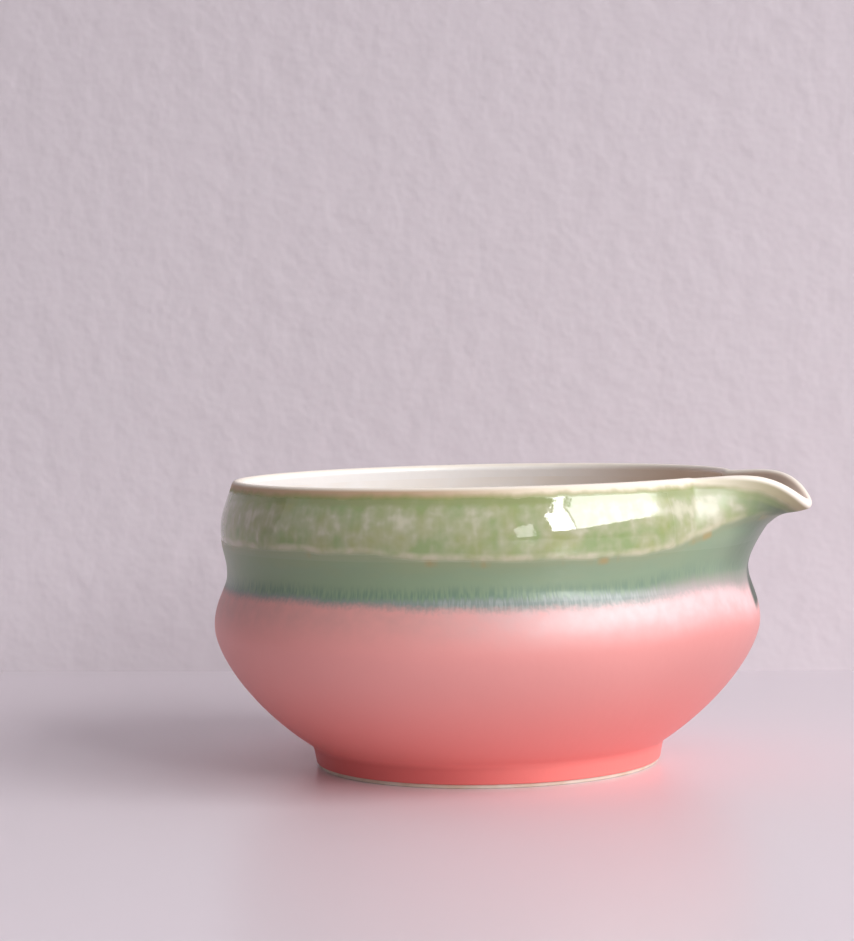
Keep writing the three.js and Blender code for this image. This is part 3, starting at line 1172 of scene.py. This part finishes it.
@dataclass
class OutsideGlazes(Assembly):
    """The four coats outside, from the foot's bare edge up over the lip."""

    coral_top: float = 1.72
    sage_top: float = 2.65
    rolled_edge: float = 0.4
    edge_points: int = 9
    crease_run: float = 1.3
    crease_points: int = 13

    def dress(self) -> dict[str, Material]:
        """Makes the coats' finishes, which share their painted layers.

        Returns:
            The material of each coat, by its piece's name.
        """
        fired = LayeredGlaze().group()
        glazes = (
            ("coral_coat", "satin coral glaze", 1.53),
            ("sage_coat", "sea green ash glaze", 1.62),
            ("moss_coat", "mottled moss glaze", 1.8),
            ("lip_coat", "thin cream lip glaze", 1.54),
        )
        return {piece: OuterGlaze(name, ior=ior, layers=fired).material() for piece, name, ior in glazes}

    def sections(self) -> list[Section]:
        """Cuts the coats' sections.

        Returns:
            The sections, from the lowest up.
        """
        sage = self.band("sage_coat", "sea_green_glaze", self.coral_top, self.sage_top)
        moss = self.band("moss_coat", "mottled_green_glaze", self.sage_top, self.form.lip_start)
        return [self.coral(), sage, moss, self.lip()]

    def coral(self) -> Section:
        """Cuts the section of the lowest coat.

        Returns:
            The section, with a rolled lower edge and a soft crease over the foot.
        """
        form, roll, run = self.form, self.rolled_edge, self.crease_run
        bare = form.foot_bare_edge
        corner = (form.foot_side(bare + roll)[0], bare)
        edge = bent([form.foot_side(bare, form.glaze), corner, form.foot_side(bare + roll)], self.edge_points)
        dense = np.linspace(0, 0.5, 500)
        reach = np.linalg.norm(form.outline(form.plain, dense) - form.outline(form.plain, dense[:1]), axis=1)
        leave = float(np.interp(run, reach, dense))
        crease = (form.crease.radius, form.crease.height)
        start = form.foot_side(form.crease.height - run)
        plain, spouted = (
            bent([start, crease, form.outline(points, np.array([leave]))[0]], self.crease_points)
            for points in (form.plain, form.spouted)
        )
        runs = [
            form.rings(np.concatenate([edge, [start]])),
            form.rings(plain, spouted),
            form.wall(leave, self.coral_top, Skin.OUTER_GLAZE),
            form.wall(self.coral_top, 0, Skin.OUTER_CLAY),
            form.rings(np.array([form.foot_side(h, form.glaze) for h in (form.crease.height, bare)])),
        ]
        return Section("coral_coat", "pink_glaze", "pink_glaze", runs)

    def band(self, name: str, node: str, low: float, high: float) -> Section:
        """The section of a coat between two stations of the wall."""
        runs = [self.form.wall(low, high, Skin.OUTER_GLAZE), self.form.wall(high, low, Skin.OUTER_CLAY)]
        return Section(name, node, node, runs)

    def lip(self) -> Section:
        """Cuts the section of the thin coat.

        Returns:
            The section, which runs over the lip to the liner.
        """
        form, low = self.form, self.form.lip_start
        runs = [
            form.wall(low, form.top, Skin.OUTER_GLAZE),
            form.lip(0),
            form.wall(form.top, low, Skin.INNER_GLAZE),
            form.wall(low, form.top, Skin.INNER_CLAY),
            form.lip(form.glaze, 180, 0),
            form.wall(form.top, low, Skin.OUTER_CLAY),
        ]
        return Section("lip_coat", "rim_glaze", "rim_glaze", runs)


@dataclass
class InsideGlazes(Assembly):
    """The white liner on the whole inside, and the coat in the well of the foot, which is dipped with the outside."""

    coral: Material
    meniscus: float = 0.9
    meniscus_points: int = 9

    def dress(self) -> dict[str, Material]:
        """Makes the liner's finish, and gives the well the coral coat's."""
        return {"white_liner": LinerGlaze().material(), "well_coat": self.coral}

    def sections(self) -> list[Section]:
        """Cuts the two coats' sections.

        Returns:
            The liner's section, from the axis out under it, up and back down, and that of the well's coat, which
            gathers at the foot ring.
        """
        form, gather = self.form, self.meniscus
        liner = [
            form.floor(form.glaze)[::-1],
            form.wall(0, form.lip_start, Skin.INNER_CLAY),
            form.wall(form.lip_start, 0, Skin.INNER_GLAZE),
            form.floor(0),
        ]
        low = form.well_ceiling - form.glaze
        meets = form.well_side(low - gather / 2)
        curve = bent([(meets[0] - gather, low), (meets[0] - gather / 4, low), meets], self.meniscus_points)
        top = [form.well_side(form.well_ceiling), (0, form.well_ceiling)]
        well = [form.rings(np.concatenate([[(0, low)], curve, top]))]
        return [
            Section("white_liner", "liner_glaze", "liner_glaze", liner, closed=False),
            Section("well_coat", "foot_well_glaze", "pink_glaze", well, closed=False),
        ]


@dataclass
class ThrownClay(Assembly):
    """The porcelain under the glazes: the thrown shell with its pulled spout, and the ring luted under it."""

    foot_edge: float = 0.3
    edge_points: int = 7

    def dress(self) -> dict[str, Material]:
        """Makes the clay's finish."""
        return dict.fromkeys(("thrown_shell", "foot_ring_clay"), BarePorcelain().material())

    def sections(self) -> list[Section]:
        """Cuts the two clay pieces' sections.

        Returns:
            The shell's section, from the axis under its floor over the lip and back to the axis, and the foot
            ring's, flat below with both lower edges softened.
        """
        form, edge = self.form, self.foot_edge
        under = [(0, form.well_ceiling), form.well_side(form.well_ceiling)]
        side = [form.foot_side(h, form.glaze) for h in (form.well_ceiling, form.crease.height)]
        shell = [
            form.rings(np.array(under + side)),
            form.wall(0, form.top, Skin.OUTER_CLAY),
            form.lip(form.glaze),
            form.wall(form.top, 0, Skin.INNER_CLAY),
            form.floor(form.glaze),
        ]
        corner = form.foot_side(0, form.glaze)
        outer = bent([(corner[0] - edge, 0), corner, form.foot_side(edge, form.glaze)], self.edge_points)
        inner = bent([form.well_side(edge), form.well_side(0), (form.well_side(0)[0] + edge, 0)], self.edge_points)
        top = [form.foot_side(form.well_ceiling, form.glaze), form.well_side(form.well_ceiling)]
        ring = [form.rings(np.concatenate([outer, top, inner]))]
        return [
            Section("thrown_shell", "bowl_body", "clay", shell, closed=False),
            Section("foot_ring_clay", "foot_ring", "clay", ring),
        ]


@dataclass(frozen=True)
class Viewpoint:
    """Where the photograph was taken from, found from the bowl's outline in it.

    Distances are metres from the bowl's axis and angles are degrees. The spout points spout_turn towards the camera.
    """

    spout_turn: float = 18.0
    distance: float = 0.5999
    height: float = 0.096
    yaw: float = -1.253
    pitch: float = 2.559
    roll: float = -1.232
    focal_pixels: float = 2539.0
    frame_pixels: tuple[int, int] = (854, 941)
    sensor: float = 36.0
    clip: tuple[float, float] = (0.01, 20)

    def turned(self) -> Matrix:
        """The turn from the camera's own directions (right, away, up) to the bowl's."""
        return Matrix.Rotation(math.radians(self.spout_turn), 3, "Z")

    def place(self, axis: Vector) -> None:
        """Makes the scene's camera.

        Args:
            axis: Where the bowl's axis meets the table.
        """
        yaw, pitch, roll = (math.radians(a) for a in (self.yaw, self.pitch, self.roll))
        ahead = Vector((math.sin(yaw) * math.cos(pitch), math.cos(yaw) * math.cos(pitch), -math.sin(pitch)))
        level = Vector((math.cos(yaw), -math.sin(yaw), 0))
        over = level.cross(ahead)
        right = level * math.cos(roll) + over * math.sin(roll)
        up = over * math.cos(roll) - level * math.sin(roll)
        basis = self.turned() @ Matrix((right, up, -ahead)).transposed()
        data = bpy.data.cameras.new("viewpoint")
        data.sensor_width = self.sensor
        data.lens = self.focal_pixels * self.sensor / max(self.frame_pixels)
        data.clip_start, data.clip_end = self.clip
        camera = new_object("viewpoint", data)
        stands = axis + self.turned() @ Vector((0, -self.distance, self.height))
        camera.matrix_world = Matrix.Translation(stands) @ basis.to_4x4()
        bpy.context.scene.camera = camera


@dataclass(frozen=True)
class Pane:
    """A lit pane of the window, in metres on the window's plane: along it towards the camera, and up."""

    near: float
    far: float
    sill: float
    head: float
    radiance: float


@dataclass
class Studio:
    """The table, the wall that it stands against, the window at the right and the light of the room."""

    view: Viewpoint
    axis: Vector
    window_distance: float = 1.0
    panes: tuple[Pane, ...] = (
        Pane(0.10, 1.20, 0.41, 1.30, 7.3),
        Pane(1.26, 1.80, 0.41, 1.30, 14.8),
        Pane(2.60, 4.30, 0.25, 1.30, 3.2),
    )
    wall_back: float = 0.171
    wall_turn: float = -8.3
    room_span: float = 6.0
    wall_height: float = 2.5
    room_tone: str = "#c6bdc2"
    room_light: float = 0.17

    def set_up(self) -> None:
        """Makes the lights, the world and the two surfaces."""
        for pane in self.panes:
            self.light(pane)
        self.world()
        half, lean = self.room_span / 2, math.tan(math.radians(self.wall_turn))
        left, right = (Vector((x, self.wall_back + x * lean, 0)) for x in (-half, half))
        up = Vector((0, 0, self.wall_height))
        corners = [Vector((x, y, 0)) for x, y in ((-half, -half), (half, -half), (half, half), (-half, half))]
        self.surface("table", corners, LacqueredBoard())
        self.surface("wall", [left, right, right + up, left + up], WallPaint())

    def light(self, pane: Pane) -> None:
        """Hangs one pane of the window as an area lamp that faces the bowl's side.

        Args:
            pane: Its place and brightness.
        """
        data = bpy.data.lights.new("window pane", "AREA")
        data.shape = "RECTANGLE"
        data.size, data.size_y = pane.far - pane.near, pane.head - pane.sill
        data.energy = pane.radiance * math.pi * data.size * data.size_y
        lamp = new_object("window pane", data)
        middle = Vector((self.window_distance, -(pane.near + pane.far) / 2, (pane.sill + pane.head) / 2))
        lamp.location = self.axis + self.view.turned() @ middle
        lamp.rotation_euler = (self.view.turned() @ Vector((-1, 0, 0))).to_track_quat("-Z", "Y").to_euler()
        lamp.visible_camera = False

    def world(self) -> None:
        """Lights the room evenly, and shows its tone where a view goes past the wall."""
        world = bpy.context.scene.world = bpy.data.worlds.new("room")
        world.use_nodes = True
        world.node_tree.nodes.clear()
        put = partial(add_node, world.node_tree)
        path = put("ShaderNodeLightPath").outputs
        seen = put(Op.MOST, path["Is Camera Ray"], path["Is Glossy Ray"])
        seen = put(Op.MOST, seen, path["Is Transmission Ray"])
        light = put("ShaderNodeBackground", "#ffffff", self.room_light)
        shown = put("ShaderNodeBackground", self.room_tone, 1.0)
        put("ShaderNodeOutputWorld", put("ShaderNodeMixShader", seen, light, shown))

    def surface(self, name: str, corners: list[Vector], finish: Finish) -> None:
        """Lays one flat surface of the room.

        Args:
            name: The surface's name.
            corners: Its corners in the camera's directions, from the foot of the bowl's axis.
            finish: What it is finished with.
        """
        mesh = bpy.data.meshes.new(name)
        mesh.from_pydata([self.axis + self.view.turned() @ c for c in corners], [], [tuple(range(len(corners)))])
        mesh.materials.append(finish.material())
        new_object(name, mesh)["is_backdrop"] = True


def write_sizes(before: tuple[Vector, Vector], after: tuple[Vector, Vector]) -> None:
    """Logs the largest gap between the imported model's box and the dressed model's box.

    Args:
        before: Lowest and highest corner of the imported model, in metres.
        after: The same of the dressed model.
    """
    worst = max(abs(a - b) for k in (0, 1) for a, b in zip(before[k], after[k]))
    LOG.info("the dressed bowl's box is within %.3f mm of the packed one's", worst / MM)


def main() -> None:
    """Builds the bowl's pieces, then the room round it."""
    logging.basicConfig(level=logging.INFO, format="%(name)s: %(message)s")
    low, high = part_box("foot_ring")
    axis = Vector(((low.x + high.x) / 2, (low.y + high.y) / 2, 0))
    view = Viewpoint()
    view.place(axis)

    form = BowlForm()
    wall = SpunWall(form, axis)
    coats = OutsideGlazes(form).build(wall)
    coral = coats[0].thing.data.materials[0]
    pieces = coats + InsideGlazes(form, coral).build(wall) + ThrownClay(form).build(wall)
    wall.share_shading()
    for piece in pieces:
        piece.settle()

    Studio(view, axis).set_up()
    bpy.context.scene.view_settings.view_transform = "Standard"
    write_sizes(CAD_BOX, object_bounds())


if __name__ == "__main__":
    main()
